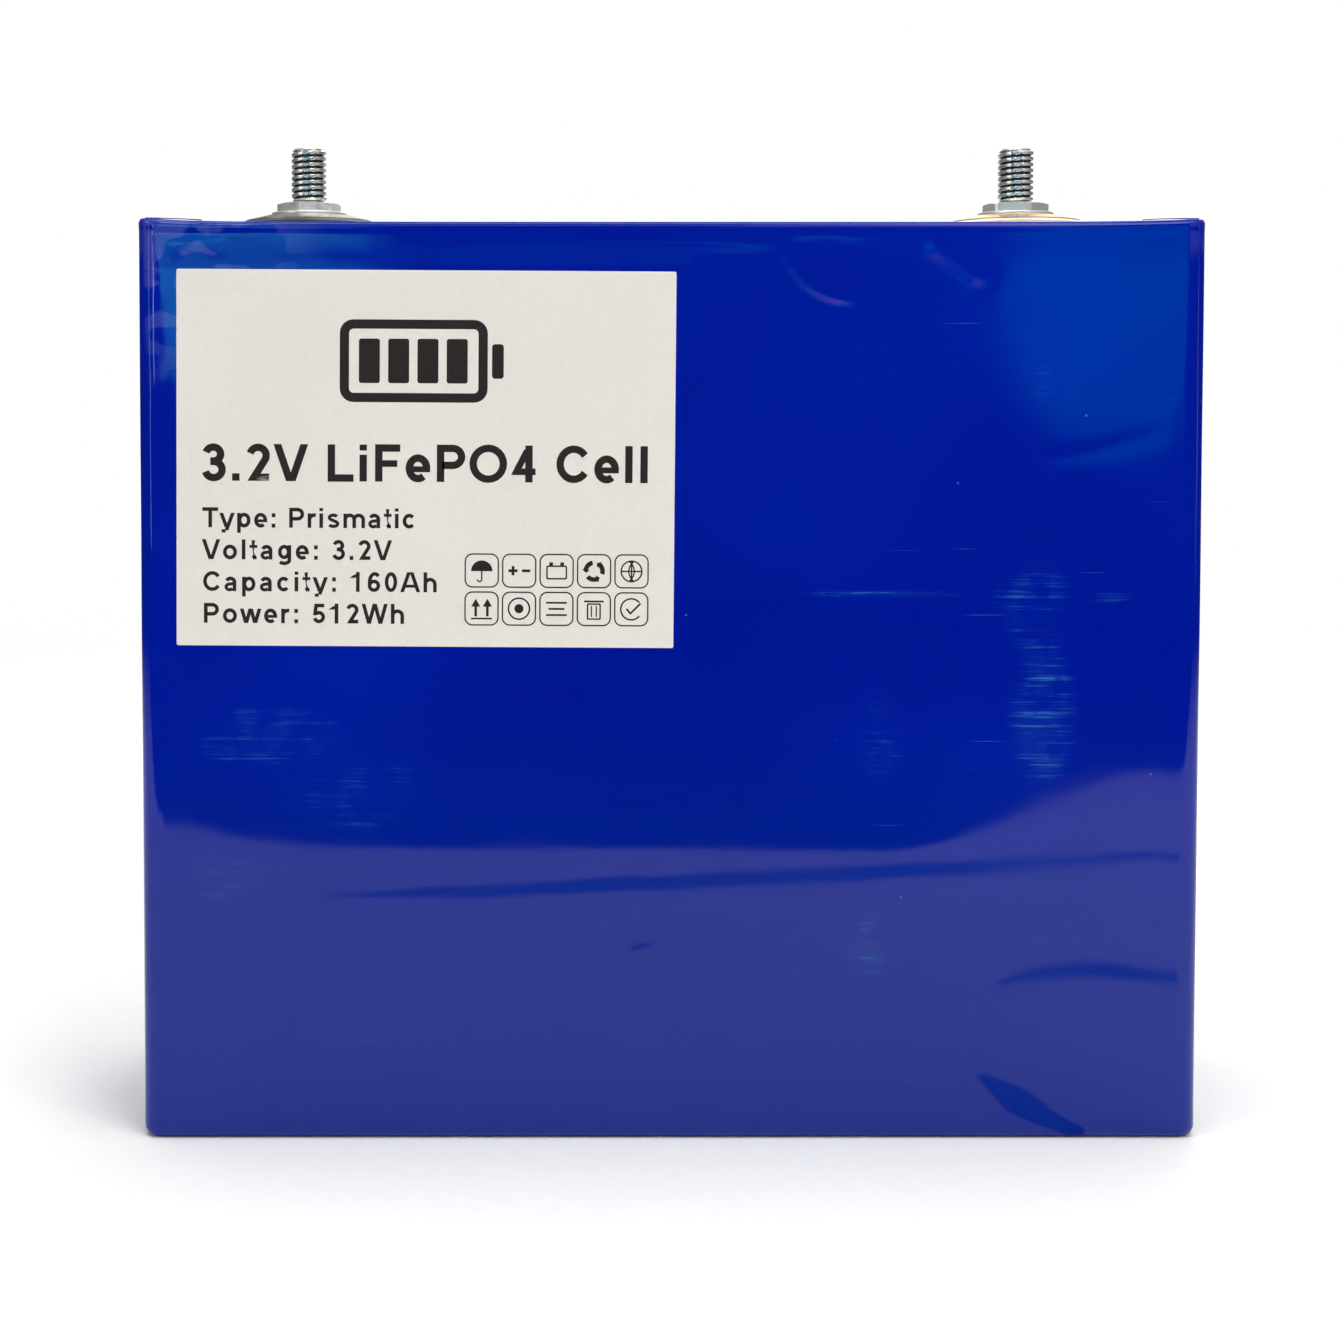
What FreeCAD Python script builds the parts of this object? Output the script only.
import FreeCAD, Part
import math
import os
from types import SimpleNamespace
import Sketcher

# A prismatic lithium iron phosphate cell with two M6 studs, as an assembly of separate pieces.
#
# The cell stands on its base. The origin is the middle of the base, +Z is up, X runs along the
# wide faces and the label is on the -Y face. The positive pole is at -X and the negative at +X.
# All sizes are in millimetres and come from the spreadsheet named dims. A body's own origin is
# moved to its place in the cell by its Placement.

V = FreeCAD.Vector

# Driving dimensions: alias, value, meaning.
DRIVING = [
    ("body_w", 173.9, "width over the film"),
    ("body_t", 53.85, "thickness over the film"),
    ("shoulder", 150.5, "height of the folded film lip"),
    ("corner", 3.0, "radius of the upright edges over the film"),
    ("film", 0.2, "film thickness"),
    ("lip", 3.2, "width of film folded over the lid"),
    ("lip_corner", 2.0, "corner radius of the film's top opening"),
    ("brow", 0.8, "radius of the film over the top edge"),
    ("wall", 0.8, "can wall"),
    ("floor", 1.5, "can floor and its outer edge radius"),
    ("lid", 2.0, "lid thickness"),
    ("small_corner", 0.3, "corner radius of small moulded and pressed shapes"),
    ("pole_pitch", 123.0, "distance between the poles"),
    ("pole_rise", 3.0, "pole top above the shoulder"),
    ("plate", 2.2, "terminal plate thickness"),
    ("plate_dia", 22.0, "terminal plate diameter"),
    ("plate_slope_w", 3.6, "width of the terminal plate's sloped edge"),
    ("plate_slope_z", 0.9, "drop of the terminal plate's sloped edge"),
    ("column_dia", 10.0, "rivet column diameter"),
    ("head_dia", 12.4, "rivet head and lid hole diameter"),
    ("rivet_foot", 1.2, "rivet foot thickness"),
    ("rivet_foot_dia", 18.0, "rivet foot diameter"),
    ("washer_dia", 16.0, "seal washer diameter"),
    ("tray_dia", 26.0, "upper insulator diameter"),
    ("tray_sink", 0.3, "depth of the insulator's recess in the lid"),
    ("tray_rim", 1.1, "height of the insulator rim beside the plate"),
    ("tray_drop", 0.5, "fall of the rim's top towards its outside"),
    ("play", 0.2, "clearance round a dropped-in piece"),
    ("stud_dia", 6.0, "stud thread, nominal diameter"),
    ("stud_len", 9.4, "stud thread above the hexagon"),
    ("stud_tip", 0.5, "chamfer at the stud's tip"),
    ("stud_depth", 5.0, "stud length inside the pole"),
    ("tap_depth", 5.2, "depth of the pole's threaded hole"),
    ("tap_play", 0.02, "radial clearance in the threaded hole"),
    ("hex_flats", 10.0, "hexagon across flats"),
    ("hex_rise", 1.6, "hexagon height"),
    ("positive_turn", 20.0, "turn of the positive stud's hexagon in degrees"),
    ("negative_turn", 42.0, "turn of the negative stud's hexagon in degrees"),
    ("collar_dia", 13.0, "stud's round collar diameter"),
    ("collar", 0.6, "stud's round collar thickness"),
    ("vent_len", 26.0, "vent opening length"),
    ("vent_wide", 13.0, "vent opening width"),
    ("vent_land", 1.5, "ledge round the vent opening"),
    ("vent_plate", 0.5, "vent plate thickness"),
    ("vent_thin", 0.25, "depth of the vent plate's hollow"),
    ("vent_score", 0.1, "depth of the vent plate's score line"),
    ("vent_score_in", 2.5, "score line in from the hollow's edge"),
    ("vent_score_w", 0.4, "score line width"),
    ("shield", 0.12, "vent shield thickness"),
    ("shield_sink", 0.2, "depth of the shield's recess"),
    ("shield_land", 2.4, "shield beyond the vent opening"),
    ("port_x", 28.0, "filling port, from the middle towards the positive pole"),
    ("port_dia", 3.0, "filling port diameter"),
    ("cap_dia", 8.0, "filling port cap diameter"),
    ("cap", 0.8, "filling port cap thickness"),
    ("mark_x", 42.0, "polarity marks, from the middle"),
    ("mark_len", 5.0, "polarity mark length"),
    ("mark_wide", 1.2, "polarity mark stroke"),
    ("mark_sink", 0.2, "polarity mark depth"),
    ("under", 1.9, "lower insulator thickness"),
    ("leg", 9.4, "height of the lower insulator's end legs"),
    ("leg_thick", 2.0, "thickness of the end legs"),
    ("leg_wide", 40.0, "width of the end legs"),
    ("leg_in", 1.4, "end legs in from the cavity wall"),
    ("grille_slot", 1.5, "vent grille slot width"),
    ("grille_len", 12.0, "vent grille slot length"),
    ("grille_pitch", 3.0, "vent grille slot pitch"),
    ("grille_count", 8, "vent grille slots"),
    ("collector", 1.5, "current collector thickness"),
    ("collector_len", 58.0, "current collector length"),
    ("collector_wide", 38.0, "current collector width"),
    ("collector_corner", 4.0, "current collector corner radius"),
    ("collector_x", 47.0, "current collector centre, from the middle"),
    ("fuse_x", 49.5, "collector fuse slots, from the middle"),
    ("fuse_y", 12.0, "collector fuse slots, off the centre line"),
    ("fuse_wide", 3.0, "collector fuse slot width"),
    ("fuse_len", 11.0, "collector fuse slot length"),
    ("pad", 1.0, "bottom support thickness"),
    ("pad_play", 0.45, "bottom support in from the cavity wall"),
    ("bag", 0.2, "insulation bag thickness"),
    ("bag_play", 0.35, "insulation bag in from the cavity wall"),
    ("gap", 0.1, "clearance between stacked inner pieces"),
    ("turns", 4, "turns of each wound roll"),
    ("wind_pitch", 2.55, "radial pitch of the winding"),
    ("wind_core", 0.8, "radius of the winding's first half turn"),
    ("wind_straight", 145.6, "straight length of the winding"),
    ("wind_y", 12.09, "winding centre, off the middle plane"),
    ("wind_gap", 0.04, "clearance on each face of a wound layer"),
    ("cathode", 1.0, "positive sheet thickness"),
    ("anode", 0.9, "negative sheet thickness"),
    ("separator", 0.25, "separator thickness"),
    ("wind_top", 136.6, "top of the separators"),
    ("overhang", 0.8, "separator beyond anode, and anode beyond cathode"),
    ("tape", 0.1, "binding tape thickness"),
    ("tape_wide", 15.0, "binding tape width"),
    ("tape_low", 35.0, "lower binding tape's middle height"),
    ("tape_high", 100.0, "upper binding tape's middle height"),
    ("tape_corner", 12.3, "corner radius of the binding tape"),
    ("tab_wide", 36.0, "tab width"),
    ("tab_x", 37.0, "tab centre, from the middle"),
    ("tab_foil", 0.28, "thickness of one bundle of tab foils"),
    ("tab_step", 0.3, "pitch of the bundles in the pressed stack"),
    ("tab_gather", 17.0, "where the tab stack rises, off the middle plane"),
    ("tab_end", 5.0, "where the tab stack ends, off the middle plane"),
    ("tab_free", 137.4, "height at which the tabs start to gather"),
    ("tab_bound", 140.8, "height at which the tabs are gathered"),
    ("weld_tape", 0.15, "thickness of the tape over the tab welds"),
    ("weld_tape_len", 40.0, "weld tape length"),
    ("weld_tape_wide", 28.0, "weld tape width"),
    ("label", 0.12, "label thickness"),
    ("label_w", 81.0, "label width"),
    ("label_rise", 61.2, "label height"),
    ("label_left", 6.4, "label in from the left edge"),
    ("label_down", 7.9, "label below the shoulder"),
    ("label_tilt", 0.34, "label tilt in degrees"),
    ("label_corner", 0.8, "label corner radius"),
]

doc = FreeCAD.newDocument("prismatic_cell")
sheet = doc.addObject("Spreadsheet::Sheet", "dims")
for row, (alias, value, meaning) in enumerate(DRIVING, start=1):
    sheet.set(f"A{row}", meaning)
    sheet.set(f"B{row}", str(value))
    sheet.setAlias(f"B{row}", alias)
doc.recompute()


class Size:
    """A size that holds both its number and the expression in the sheet's cells that gives it."""

    def __init__(self, number, text):
        self.number = number
        self.text = text

    def __add__(self, other):
        return Size(self.number + number(other), f"({self.text} + {text(other)})")

    def __sub__(self, other):
        return Size(self.number - number(other), f"({self.text} - {text(other)})")

    def __mul__(self, other):
        return Size(self.number * number(other), f"({self.text} * {text(other)})")

    def __truediv__(self, other):
        return Size(self.number / number(other), f"({self.text} / {text(other)})")

    def __neg__(self):
        return self * -1

    __rmul__ = __mul__


def number(size):
    """The number of a Size, or a plain number as it is."""
    return size.number if isinstance(size, Size) else size


def text(size):
    """The expression of a Size, or a plain number in text."""
    return size.text if isinstance(size, Size) else str(size)


cell = SimpleNamespace(**{alias: Size(sheet.get(alias), f"dims.{alias}") for alias, _, _ in DRIVING})

# Sizes and heights that follow from the driving ones. Heights are above the cell's base.
CAN_W = cell.body_w - 2 * cell.film
CAN_T = cell.body_t - 2 * cell.film
CAN_CORNER = cell.corner - cell.film
CAN_BROW = cell.brow - cell.film
CAVITY_W = CAN_W - 2 * cell.wall
CAVITY_T = CAN_T - 2 * cell.wall
CAVITY_CORNER = CAN_CORNER - cell.wall
MOUTH_W = cell.body_w - 2 * cell.lip
MOUTH_T = cell.body_t - 2 * cell.lip
LID_TOP = cell.shoulder - cell.film
LID_BASE = LID_TOP - cell.lid
TRAY_BASE = LID_TOP - cell.tray_sink
POLE_TOP = cell.shoulder + cell.pole_rise
PLATE_BASE = POLE_TOP - cell.plate
HEAD_BASE = POLE_TOP - (cell.head_dia - cell.column_dia) / 2
UNDER_BASE = LID_BASE - cell.under
FOOT_BASE = UNDER_BASE - cell.rivet_foot
COLLECTOR_BASE = FOOT_BASE - cell.collector
TAB_BASE = COLLECTOR_BASE - cell.turns * cell.tab_step
COLLAR_TOP = POLE_TOP + cell.collar
HEX_TOP = COLLAR_TOP + cell.hex_rise
STUD_TOP = HEX_TOP + cell.stud_len
FLOOR_TOP = cell.film + cell.floor
BAG_BASE = FLOOR_TOP + cell.pad + cell.gap
BAG_RISE = UNDER_BASE - 2 * cell.gap - BAG_BASE
BAG_W = CAVITY_W - 2 * cell.bag_play
BAG_T = CAVITY_T - 2 * cell.bag_play
BAG_CORNER = CAVITY_CORNER - cell.bag_play
WIND_BASE = BAG_BASE + cell.bag + cell.gap
POLE_X = cell.pole_pitch / 2

QUARTER = math.pi / 2
LEVEL_TOLERANCE = 1e-4
POLES = (("positive", -1), ("negative", 1))
ROLLS = (("front", -1), ("rear", 1))
HEX_TURN = {"positive": cell.positive_turn, "negative": cell.negative_turn}


def bind(item, prop, size):
    """Binds a property to the sheet."""
    item.setExpression(prop, text(size))


def bind_place(item, prop, place):
    """Binds the shift of a placement property to the sheet."""
    for axis, size in zip("xyz", place):
        bind(item, f"{prop}.Base.{axis}", size)


def new_body(label, x=0, y=0, z=0):
    """A body whose label names its file, with its origin placed in the cell."""
    body = doc.addObject("PartDesign::Body", label)
    body.Label = label
    bind_place(body, "Placement", (x, y, z))
    return body


def origin_part(body, role):
    """One of a body's own origin planes or axes."""
    return next(o for o in body.Origin.OriginFeatures if o.Role == role)


def attach(body, item, plane, x=0, y=0, z=0):
    """Lays an item on one of its body's origin planes, moved along the plane's own axes."""
    item.AttachmentSupport = [(origin_part(body, plane), "")]
    item.MapMode = "FlatFace"
    bind_place(item, "AttachmentOffset", (x, y, z))


def sketch(body, name, x=0, y=0, z=0, plane="XY_Plane"):
    """An empty sketch in a body."""
    made = body.newObject("Sketcher::SketchObject", f"{body.Label}_{name}")
    attach(body, made, plane, x, y, z)
    return made


def dimension(made, kind, where, size):
    """A dimension of a sketch, bound to the sheet."""
    index = made.addConstraint(Sketcher.Constraint(kind, *where, number(size)))
    bind(made, f"Constraints[{index}]", size)


def chain(made, ids, ends):
    """Joins each edge's end to the next one's start, ends being Tangent or Coincident."""
    for first, second in zip(ids, ids[1:] + ids[:1]):
        made.addConstraint(Sketcher.Constraint(ends, first, 2, second, 1))


def circle(made, diameter):
    """A circle round the sketch's origin."""
    ring = made.addGeometry(Part.Circle(V(), V(0, 0, 1), number(diameter) / 2))
    made.addConstraint(Sketcher.Constraint("Coincident", ring, 3, -1, 1))
    dimension(made, "Diameter", (ring,), diameter)


def arc(x, y, radius, start, sweep):
    """An arc round a centre, from one angle on."""
    return Part.ArcOfCircle(Part.Circle(V(x, y), V(0, 0, 1), radius), start, start + sweep)


def rounded_rectangle(made, width, depth, radius):
    """A rectangle with rounded corners round the sketch's origin."""
    r = number(radius)
    x, y = number(width) / 2, number(depth) / 2
    low, low_right, right, high_right, high, high_left, left, low_left = made.addGeometry([
        Part.LineSegment(V(r - x, -y), V(x - r, -y)),
        arc(x - r, r - y, r, -QUARTER, QUARTER),
        Part.LineSegment(V(x, r - y), V(x, y - r)),
        arc(x - r, y - r, r, 0, QUARTER),
        Part.LineSegment(V(x - r, y), V(r - x, y)),
        arc(r - x, y - r, r, QUARTER, QUARTER),
        Part.LineSegment(V(-x, y - r), V(-x, r - y)),
        arc(r - x, r - y, r, 2 * QUARTER, QUARTER),
    ])
    chain(made, [low, low_right, right, high_right, high, high_left, left, low_left], "Tangent")
    for line in (low, high):
        made.addConstraint(Sketcher.Constraint("Horizontal", line))
    for line in (left, right):
        made.addConstraint(Sketcher.Constraint("Vertical", line))
    for other in (high_right, high_left, low_left):
        made.addConstraint(Sketcher.Constraint("Equal", low_right, other))
    made.addConstraint(Sketcher.Constraint("Symmetric", low, 1, high, 1, -1, 1))
    dimension(made, "DistanceX", (left, 1, right, 1), width)
    dimension(made, "DistanceY", (low, 1, high, 1), depth)
    dimension(made, "Radius", (low_right,), radius)


def obround(made, length, width):
    """A slot with round ends along the sketch's own X, round its origin."""
    r = number(width) / 2
    x = number(length) / 2 - r
    low, right, high, left = made.addGeometry([
        Part.LineSegment(V(-x, -r), V(x, -r)),
        arc(x, 0, r, -QUARTER, 2 * QUARTER),
        Part.LineSegment(V(x, r), V(-x, r)),
        arc(-x, 0, r, QUARTER, 2 * QUARTER),
    ])
    chain(made, [low, right, high, left], "Tangent")
    made.addConstraint(Sketcher.Constraint("Horizontal", low))
    made.addConstraint(Sketcher.Constraint("Symmetric", left, 3, right, 3, -1, 1))
    dimension(made, "DistanceX", (left, 3, right, 3), length - width)
    dimension(made, "Radius", (right,), width / 2)


def outline(made, corners):
    """A closed outline of straight lines through corners, each given across and up."""
    points = [V(number(across), number(up)) for across, up in corners]
    ids = [made.addGeometry(Part.LineSegment(a, b)) for a, b in zip(points, points[1:] + points[:1])]
    chain(made, ids, "Coincident")
    for line, (across, up) in zip(ids, corners):
        if number(across) == 0:
            made.addConstraint(Sketcher.Constraint("PointOnObject", line, 1, -2))
        else:
            dimension(made, "DistanceX", (-1, 1, line, 1), across)
        dimension(made, "DistanceY", (-1, 1, line, 1), up)


def raise_pad(body, made, height):
    """Raises a sketch along its normal."""
    feature = body.newObject("PartDesign::Pad", f"{made.Label}_pad")
    feature.Profile = made
    bind(feature, "Length", height)
    doc.recompute()
    return feature


def cut_pocket(body, made, depth):
    """Cuts a sketch down into its body, against the sketch's normal, and checks that it cut."""
    before = body.Shape.Volume
    feature = body.newObject("PartDesign::Pocket", f"{made.Label}_pocket")
    feature.Profile = made
    bind(feature, "Length", depth)
    doc.recompute()
    if body.Shape.Volume >= before:
        raise RuntimeError(f"{feature.Label} cuts nothing")
    return feature


def round_level(body, feature, height, radius, name):
    """Rounds every edge of a feature that lies flat at one height in its body."""
    level = number(height)
    edges = [
        f"Edge{i}"
        for i, edge in enumerate(feature.Shape.Edges, start=1)
        if max(abs(edge.BoundBox.ZMin - level), abs(edge.BoundBox.ZMax - level)) < LEVEL_TOLERANCE
    ]
    made = body.newObject("PartDesign::Fillet", f"{body.Label}_{name}")
    made.Base = (feature, edges)
    bind(made, "Radius", radius)
    doc.recompute()
    return made


def slab(label, width, depth, radius, thickness, x=0, z=0):
    """A flat rounded rectangle that lies level."""
    body = new_body(label, x=x, z=z)
    made = sketch(body, "outline")
    rounded_rectangle(made, width, depth, radius)
    raise_pad(body, made, thickness)
    return body


def disc(label, diameter, thickness, x, z):
    """A round piece that lies level."""
    body = new_body(label, x=x, z=z)
    made = sketch(body, "outline")
    circle(made, diameter)
    raise_pad(body, made, thickness)
    return body


def capsule(label, length, width, thickness, z):
    """A piece with round ends that lies level."""
    body = new_body(label, z=z)
    made = sketch(body, "outline")
    obround(made, length, width)
    raise_pad(body, made, thickness)
    return body


def turned(label, sign, corners):
    """A round piece on a pole's axis, from its half section. Its origin is on the cell's base plane."""
    body = new_body(label, x=sign * POLE_X)
    made = sketch(body, "section", plane="XZ_Plane")
    outline(made, corners)
    feature = body.newObject("PartDesign::Revolution", f"{label}_turned")
    feature.Profile = made
    feature.ReferenceAxis = (made, ["V_Axis"])
    feature.Angle = 360
    doc.recompute()
    return body


def cut_round(body, name, diameter, top, depth, x=0):
    """A round hole or recess that goes down from a height in its body."""
    made = sketch(body, name, x=x, z=top)
    circle(made, diameter)
    cut_pocket(body, made, depth)


def cut_capsule(body, name, length, width, top, depth):
    """A slot along X that goes down from a height in its body."""
    made = sketch(body, name, z=top)
    obround(made, length, width)
    cut_pocket(body, made, depth)


def cut_cross_slot(body, name, length, width, top, depth, x, y=0):
    """A slot along Y that goes down from a height in its body."""
    made = sketch(body, name, x=x, y=y, z=top)
    made.AttachmentOffset.Rotation = FreeCAD.Rotation(V(0, 0, 1), math.degrees(QUARTER))
    obround(made, length, width)
    return cut_pocket(body, made, depth)


def cut_rectangle(body, name, width, depth, radius, top, sink, x=0):
    """A rounded rectangular recess that goes down from a height in its body."""
    made = sketch(body, name, x=x, z=top)
    rounded_rectangle(made, width, depth, radius)
    cut_pocket(body, made, sink)


def can_form(label):
    """A body in the outer form of the can, with its round foot and brow."""
    rise = LID_TOP - cell.film
    body = slab(label, CAN_W, CAN_T, CAN_CORNER, rise, z=cell.film)
    foot = round_level(body, body.Tip, 0, cell.floor, "foot")
    round_level(body, foot, rise, CAN_BROW, "brow")
    return body


def make_wrap():
    """The blue film: it covers the walls and the base, and folds over the lid's rim."""
    body = slab("blue_wrap", cell.body_w, cell.body_t, cell.corner, cell.shoulder)
    foot = round_level(body, body.Tip, 0, cell.floor + cell.film, "foot")
    round_level(body, foot, cell.shoulder, cell.brow, "brow")
    core = can_form("wrap_core")
    # The core's own mouth starts below the lip and ends above it, so the lip is cut right through.
    mouth = sketch(core, "mouth", z=LID_TOP - 2 * cell.film)
    rounded_rectangle(mouth, MOUTH_W, MOUTH_T, cell.lip_corner)
    raise_pad(core, mouth, 3 * cell.film)
    hollow = body.newObject("PartDesign::Boolean", "blue_wrap_hollow")
    hollow.Type = "Cut"
    hollow.addObject(core)
    doc.recompute()


def make_can():
    """The deep-drawn aluminium can, open at the top."""
    body = can_form("can")
    cut_rectangle(body, "hollow", CAVITY_W, CAVITY_T, CAVITY_CORNER,
                  LID_TOP - cell.film, LID_TOP - FLOOR_TOP)


def make_lid():
    """The lid plate, with its pole holes, vent opening, filling port and polarity marks."""
    body = slab("lid", CAVITY_W, CAVITY_T, CAVITY_CORNER, cell.lid, z=LID_BASE)
    top = cell.lid
    shield_land = 2 * (cell.shield_land + cell.play)
    for pole, sign in POLES:
        cut_round(body, f"{pole}_recess", cell.tray_dia + 2 * cell.play, top, cell.tray_sink,
                  x=sign * POLE_X)
        cut_round(body, f"{pole}_hole", cell.head_dia, top, cell.lid, x=sign * POLE_X)
        cut_rectangle(body, f"{pole}_bar", cell.mark_len, cell.mark_wide, cell.small_corner, top,
                      cell.mark_sink, x=sign * cell.mark_x)
    cut_rectangle(body, "positive_upright", cell.mark_wide, cell.mark_len, cell.small_corner, top,
                  cell.mark_sink, x=-cell.mark_x)
    cut_capsule(body, "shield_recess", cell.vent_len + shield_land, cell.vent_wide + shield_land, top,
                cell.shield_sink)
    cut_capsule(body, "vent", cell.vent_len, cell.vent_wide, top, cell.lid)
    cut_capsule(body, "vent_seat", cell.vent_len + 2 * cell.vent_land, cell.vent_wide + 2 * cell.vent_land,
                cell.vent_plate, cell.vent_plate)
    cut_round(body, "cap_recess", cell.cap_dia, top, cell.cap, x=-cell.port_x)
    cut_round(body, "port", cell.port_dia, top, cell.lid, x=-cell.port_x)


def make_vent_plate():
    """The thin safety vent, with a hollow and a score line where it tears."""
    length = cell.vent_len + 2 * cell.vent_land
    width = cell.vent_wide + 2 * cell.vent_land
    body = capsule("vent_plate", length, width, cell.vent_plate, LID_BASE)
    cut_capsule(body, "hollow", cell.vent_len, cell.vent_wide, cell.vent_plate, cell.vent_thin)
    ring = sketch(body, "score", z=cell.vent_plate - cell.vent_thin)
    for inset in (cell.vent_score_in, cell.vent_score_in + cell.vent_score_w):
        obround(ring, cell.vent_len - 2 * inset, cell.vent_wide - 2 * inset)
    cut_pocket(body, ring, cell.vent_score)


def make_vent_shield():
    """The clear film over the vent."""
    capsule("vent_shield", cell.vent_len + 2 * cell.shield_land, cell.vent_wide + 2 * cell.shield_land,
            cell.shield, LID_TOP - cell.shield_sink)


def make_port_parts():
    """The rubber plug in the filling port and the welded cap over it."""
    disc("fill_plug", cell.port_dia, cell.lid - cell.cap, -cell.port_x, LID_BASE)
    cap = disc("fill_cap", cell.cap_dia, cell.cap, -cell.port_x, LID_TOP - cell.cap)
    round_level(cap, cap.Tip, cell.cap, cell.small_corner, "edge")


def make_terminal_plate(pole, sign):
    """The round plate that the stud stands on, riveted to the pole's column."""
    outer = cell.plate_dia / 2
    turned(f"{pole}_terminal_plate", sign, [
        (cell.column_dia / 2, PLATE_BASE),
        (outer, PLATE_BASE),
        (outer, POLE_TOP - cell.plate_slope_z),
        (outer - cell.plate_slope_w, POLE_TOP),
        (cell.head_dia / 2, POLE_TOP),
        (cell.column_dia / 2, HEAD_BASE),
    ])


def make_rivet(pole, sign):
    """The pole's column: a foot below the lid, a spread head in the plate and a threaded hole."""
    tap = cell.stud_dia / 2 + cell.tap_play
    turned(f"{pole}_rivet", sign, [
        (0, FOOT_BASE),
        (cell.rivet_foot_dia / 2, FOOT_BASE),
        (cell.rivet_foot_dia / 2, UNDER_BASE),
        (cell.column_dia / 2, UNDER_BASE),
        (cell.column_dia / 2, HEAD_BASE),
        (cell.head_dia / 2, POLE_TOP),
        (tap, POLE_TOP),
        (tap, POLE_TOP - cell.tap_depth),
        (0, POLE_TOP - cell.tap_depth),
    ])


def make_upper_insulator(pole, sign):
    """The plastic tray between the lid and the terminal plate."""
    rim_inside = cell.plate_dia / 2 + cell.play
    rim_top = PLATE_BASE + cell.tray_rim
    turned(f"{pole}_upper_insulator", sign, [
        (cell.column_dia / 2, TRAY_BASE),
        (cell.tray_dia / 2, TRAY_BASE),
        (cell.tray_dia / 2, rim_top - cell.tray_drop),
        (rim_inside, rim_top),
        (rim_inside, PLATE_BASE),
        (cell.column_dia / 2, PLATE_BASE),
    ])


def make_seal(pole, sign):
    """The rubber seal round the column, with a neck in the lid's hole."""
    turned(f"{pole}_seal_ring", sign, [
        (cell.column_dia / 2, UNDER_BASE),
        (cell.washer_dia / 2, UNDER_BASE),
        (cell.washer_dia / 2, LID_BASE),
        (cell.head_dia / 2, LID_BASE),
        (cell.head_dia / 2, TRAY_BASE),
        (cell.column_dia / 2, TRAY_BASE),
    ])


def make_stud(pole, sign):
    """The M6 stud with its collar and hexagon. The thread is a plain cylinder of its nominal size."""
    shank = cell.stud_dia / 2
    body = turned(f"{pole}_stud", sign, [
        (0, POLE_TOP - cell.stud_depth),
        (shank, POLE_TOP - cell.stud_depth),
        (shank, POLE_TOP),
        (cell.collar_dia / 2, POLE_TOP),
        (cell.collar_dia / 2, COLLAR_TOP),
        (shank, COLLAR_TOP),
        (shank, STUD_TOP - cell.stud_tip),
        (shank - cell.stud_tip, STUD_TOP),
        (0, STUD_TOP),
    ])
    hexagon = body.newObject("PartDesign::AdditivePrism", f"{body.Label}_hexagon")
    hexagon.AttachmentOffset = FreeCAD.Placement(V(), FreeCAD.Rotation(V(0, 0, 1), number(HEX_TURN[pole])))
    attach(body, hexagon, "XY_Plane", z=COLLAR_TOP)
    hexagon.Polygon = 6
    bind(hexagon, "Circumradius", cell.hex_flats / math.sqrt(3))
    bind(hexagon, "Height", cell.hex_rise)
    doc.recompute()


def make_lower_insulator():
    """The plastic plate below the lid, with a grille under the vent and a leg at each end."""
    top = cell.under
    body = slab("lower_insulator", BAG_W - 2 * cell.play, BAG_T - 2 * cell.play, BAG_CORNER, top,
                z=UNDER_BASE)
    for pole, sign in POLES:
        cut_round(body, f"{pole}_hole", cell.washer_dia, top, cell.under, x=sign * POLE_X)
    cut_round(body, "port", cell.port_dia, top, cell.under, x=-cell.port_x)
    grille = (cell.grille_count * cell.grille_pitch) - cell.grille_pitch
    first = cut_cross_slot(body, "grille", cell.grille_len, cell.grille_slot, top, cell.under, x=-grille / 2)
    row = body.newObject("PartDesign::LinearPattern", "lower_insulator_grille_row")
    row.Originals = [first]
    row.Direction = (origin_part(body, "X_Axis"), [""])
    bind(row, "Length", grille)
    bind(row, "Occurrences", cell.grille_count)
    body.Tip = row
    doc.recompute()
    leg_x = CAVITY_W / 2 - cell.leg_in - cell.leg_thick / 2
    for side, sign in (("left", -1), ("right", 1)):
        leg = sketch(body, f"{side}_leg", x=sign * leg_x, z=-cell.leg)
        rounded_rectangle(leg, cell.leg_thick, cell.leg_wide, cell.small_corner)
        raise_pad(body, leg, cell.leg)


def make_collector(pole, sign):
    """The metal plate that joins the tab stacks to the rivet's foot, with two fuse slots."""
    body = slab(f"{pole}_collector", cell.collector_len, cell.collector_wide, cell.collector_corner,
                cell.collector, x=sign * cell.collector_x, z=COLLECTOR_BASE)
    for roll, side in ROLLS:
        cut_cross_slot(body, f"{roll}_fuse", cell.fuse_len, cell.fuse_wide, cell.collector, cell.collector,
                       x=sign * (cell.fuse_x - cell.collector_x), y=side * cell.fuse_y)


def make_bottom_support():
    """The plastic plate between the can's floor and the insulation bag."""
    slab("bottom_support", CAVITY_W - 2 * cell.pad_play, CAVITY_T - 2 * cell.pad_play,
         CAVITY_CORNER - cell.pad_play, cell.pad, z=FLOOR_TOP)


def make_bag():
    """The insulation bag round both rolls, open at the top."""
    body = slab("insulation_bag", BAG_W, BAG_T, BAG_CORNER, BAG_RISE, z=BAG_BASE)
    cut_rectangle(body, "hollow", BAG_W - 2 * cell.bag, BAG_T - 2 * cell.bag, BAG_CORNER - cell.bag,
                  BAG_RISE, BAG_RISE - cell.bag)


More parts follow.
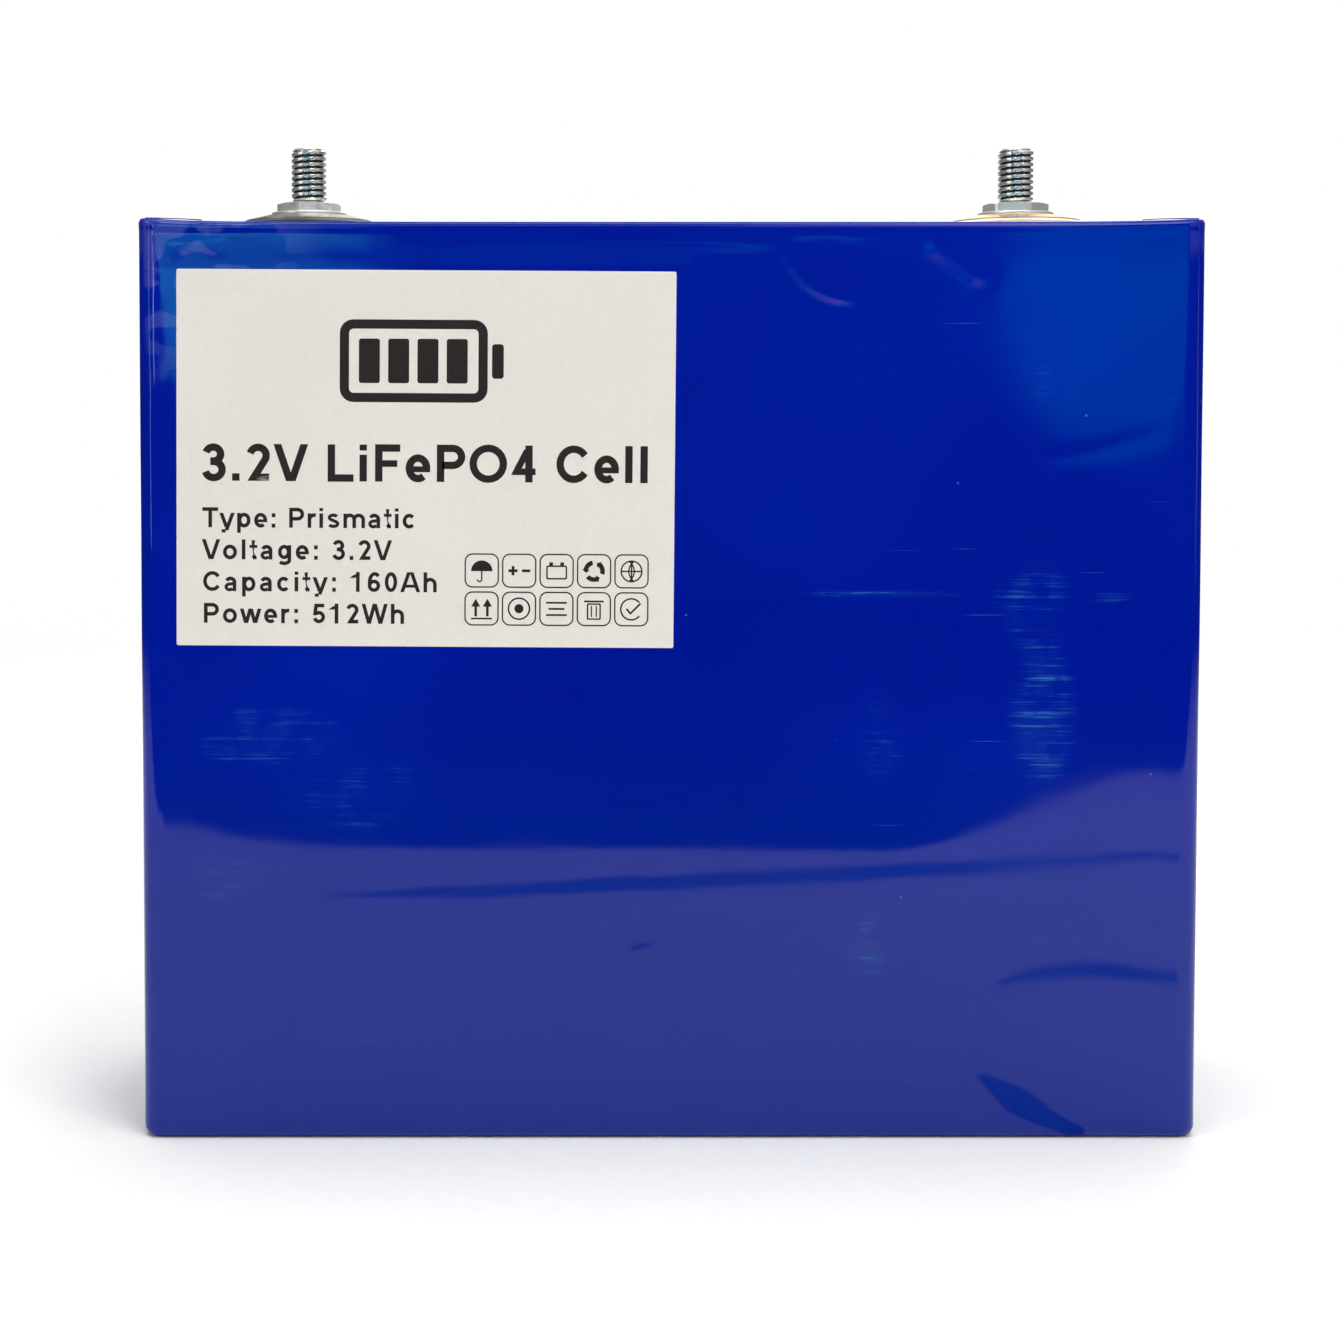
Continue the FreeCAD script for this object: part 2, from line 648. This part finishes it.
def make_binding_tape(name, middle):
    """A tape loop that holds the two rolls together."""
    width = BAG_W - 2 * cell.bag - cell.gap
    depth = BAG_T - 2 * cell.bag - cell.gap
    body = slab(f"binding_tape_{name}", width, depth, cell.tape_corner, cell.tape_wide,
                z=middle - cell.tape_wide / 2)
    cut_rectangle(body, "hollow", width - 2 * cell.tape, depth - 2 * cell.tape,
                  cell.tape_corner - cell.tape, cell.tape_wide, cell.tape_wide)


def make_weld_tape(pole, sign):
    """The tape that covers the welds below a pole's tab stacks."""
    slab(f"{pole}_weld_tape", cell.weld_tape_len, cell.weld_tape_wide, cell.small_corner, cell.weld_tape,
         x=sign * cell.tab_x, z=TAB_BASE - cell.weld_tape)


def add_shape(label, shape, place):
    """A piece whose shape is worked out here, because no sketch or primitive makes it."""
    feature = doc.addObject("Part::Feature", label)
    feature.Label = label
    feature.Shape = shape
    feature.Placement = FreeCAD.Placement(place, FreeCAD.Rotation())


def add_pair(part_name, shape, x, y, z):
    """The front roll's piece, at -y, and its mirror image on the rear roll."""
    for roll, side in ROLLS:
        turned_shape = shape if side < 0 else shape.mirror(V(), V(0, 1, 0))
        add_shape(f"{roll}_{part_name}", turned_shape, V(x, side * y, z))


def wound_path(offset):
    """The spiral that a wound layer's face follows: half turns round two centres, joined by straights."""
    pitch = cell.wind_pitch.number
    half = cell.wind_straight.number / 2
    edges = []
    here = V(0, pitch / 4 - cell.wind_core.number - offset)
    for half_turn in range(2 * int(cell.turns.number)):
        side = 1 if half_turn % 2 == 0 else -1
        radius = cell.wind_core.number + half_turn * pitch / 2 + offset
        centre = V(side * half, side * pitch / 4)
        start = centre - V(0, side * radius)
        end = centre + V(0, side * radius)
        edges.append(Part.makeLine(here, start))
        edges.append(Part.Arc(start, centre + V(side * radius, 0), end).toShape())
        here = end
    edges.append(Part.makeLine(here, V(0, here.y)))
    return edges


def wound_layer(inner, thickness, height):
    """One sheet wound into a flat roll, inner being its distance from the winding's first face."""
    gap = cell.wind_gap.number
    inside = wound_path(inner + gap)
    outside = wound_path(inner + thickness - gap)
    last = Part.makeLine(inside[-1].Vertexes[-1].Point, outside[-1].Vertexes[-1].Point)
    first = Part.makeLine(outside[0].Vertexes[0].Point, inside[0].Vertexes[0].Point)
    loop = Part.Wire(inside + [last] + outside[::-1] + [first])
    return Part.Face(loop).extrude(V(0, 0, height))


def winding_layers():
    """Each wound layer's name, first distance across the pitch, share of the pitch, base and top."""
    layers = (("positive_sheet", cell.cathode, 2), ("inner_separator", cell.separator, 0),
              ("negative_sheet", cell.anode, 1), ("outer_separator", cell.separator, 0))
    spare = cell.wind_pitch.number - sum(thickness.number for _, thickness, _ in layers)
    inner = 0
    for name, thickness, recess in layers:
        share = thickness.number + spare / len(layers)
        short = recess * cell.overhang.number
        yield name, inner, share, WIND_BASE.number + short, cell.wind_top.number - short
        inner += share


def make_rolls():
    """Two flat wound rolls of electrode and separator sheets, drawn with few thick turns."""
    for name, inner, share, base, top in winding_layers():
        add_pair(f"roll_{name}", wound_layer(inner, share, top - base), 0, cell.wind_y.number, base)


def strip(points, thickness):
    """The outline in the YZ plane of a bent strip along points, with mitred bends."""
    runs = [(b - a).normalize() for a, b in zip(points, points[1:])]
    sides = [V(0, -run.z, run.y) for run in runs]
    bends = [(a + b) / (1 + a.dot(b)) for a, b in zip(sides, sides[1:])]
    shifts = [side * (thickness / 2) for side in [sides[0]] + bends + [sides[-1]]]
    left = [point + shift for point, shift in zip(points, shifts)]
    right = [point - shift for point, shift in zip(points, shifts)]
    loop = left + right[::-1]
    return Part.makePolygon(loop + loop[:1])


def tab_stack(first, top):
    """One pole's tabs on the front roll: a foil bundle from each turn, gathered, pressed and bent over.

    first is the first bundle's distance off the middle plane, and top the height of its sheet.
    """
    turns = int(cell.turns.number)
    step = cell.tab_step.number
    foils = []
    for turn in range(turns):
        flat = -(first + turn * cell.wind_pitch.number)
        rise = -(cell.tab_gather.number + (turn - (turns - 1) / 2) * step)
        level = TAB_BASE.number + (turn + 0.5) * step
        path = [
            V(0, flat, top + cell.gap.number),
            V(0, flat, cell.tab_free.number),
            V(0, rise, cell.tab_bound.number),
            V(0, rise, level),
            V(0, -cell.tab_end.number, level),
        ]
        face = Part.Face(strip(path, cell.tab_foil.number))
        foils.append(face.extrude(V(cell.tab_wide.number, 0, 0)))
    return Part.makeCompound(foils)


def make_tabs():
    """The tab stacks of both poles on both rolls, each rising from its sheet's half turns on one side."""
    layers = {name: (inner + share / 2, top) for name, inner, share, _, top in winding_layers()}
    pitch = cell.wind_pitch.number
    for pole, sign in POLES:
        middle, top = layers[f"{pole}_sheet"]
        # The winding starts in its right half, so the left half's first straight lies one pitch further out.
        first = cell.wind_y.number + cell.wind_core.number + middle - pitch / 4
        if sign < 0:
            first += pitch
        left_edge = sign * cell.tab_x.number - cell.tab_wide.number / 2
        add_pair(f"{pole}_tabs", tab_stack(first, top), left_edge, 0, 0)


def make_label():
    """The paper label on the front face, stuck on slightly askew."""
    body = new_body("label",
                    x=cell.label_left + cell.label_w / 2 - cell.body_w / 2,
                    y=-cell.body_t / 2,
                    z=cell.shoulder - cell.label_down - cell.label_rise / 2)
    body.Placement.Rotation = FreeCAD.Rotation(V(0, 1, 0), number(cell.label_tilt))
    made = sketch(body, "outline", plane="XZ_Plane")
    rounded_rectangle(made, cell.label_w, cell.label_rise, cell.label_corner)
    raise_pad(body, made, cell.label)


def make_pole(pole, sign):
    """Everything on one pole, from the stud down to the tape over its welds."""
    for make in (make_stud, make_terminal_plate, make_rivet, make_upper_insulator, make_seal, make_collector,
                 make_weld_tape):
        make(pole, sign)


def pieces():
    """Every sub-part of the document, leaving out a body that only shapes another one."""
    kinds = ("PartDesign::Body", "Part::Feature")
    return [o for o in doc.Objects if o.TypeId in kinds and not o.getParentGeoFeatureGroup()]


def check():
    """Stops on a failed feature, or on a piece that is empty or not valid."""
    for item in doc.Objects:
        if {"Invalid", "Error"} & set(item.State):
            raise RuntimeError(f"{item.Label} is {item.State}")
    for item in pieces():
        shape = item.Shape
        if shape.isNull() or not shape.isValid() or not shape.Solids or shape.Volume <= 0:
            raise RuntimeError(f"{item.Label} has no valid solid")


def export():
    """Writes each sub-part to parts, under its own label."""
    os.makedirs("parts", exist_ok=True)
    for item in pieces():
        item.Shape.exportStep(f"parts/{item.Label}.step")
        print(f"{item.Label}: {len(item.Shape.Solids)} solid(s), {item.Shape.Volume:.1f} mm3")


make_wrap()
make_can()
make_lid()
make_vent_plate()
make_vent_shield()
make_port_parts()
for pole_name, pole_sign in POLES:
    make_pole(pole_name, pole_sign)
make_lower_insulator()
make_bottom_support()
make_bag()
make_binding_tape("lower", cell.tape_low)
make_binding_tape("upper", cell.tape_high)
make_rolls()
make_tabs()
make_label()
doc.recompute()
check()
export()
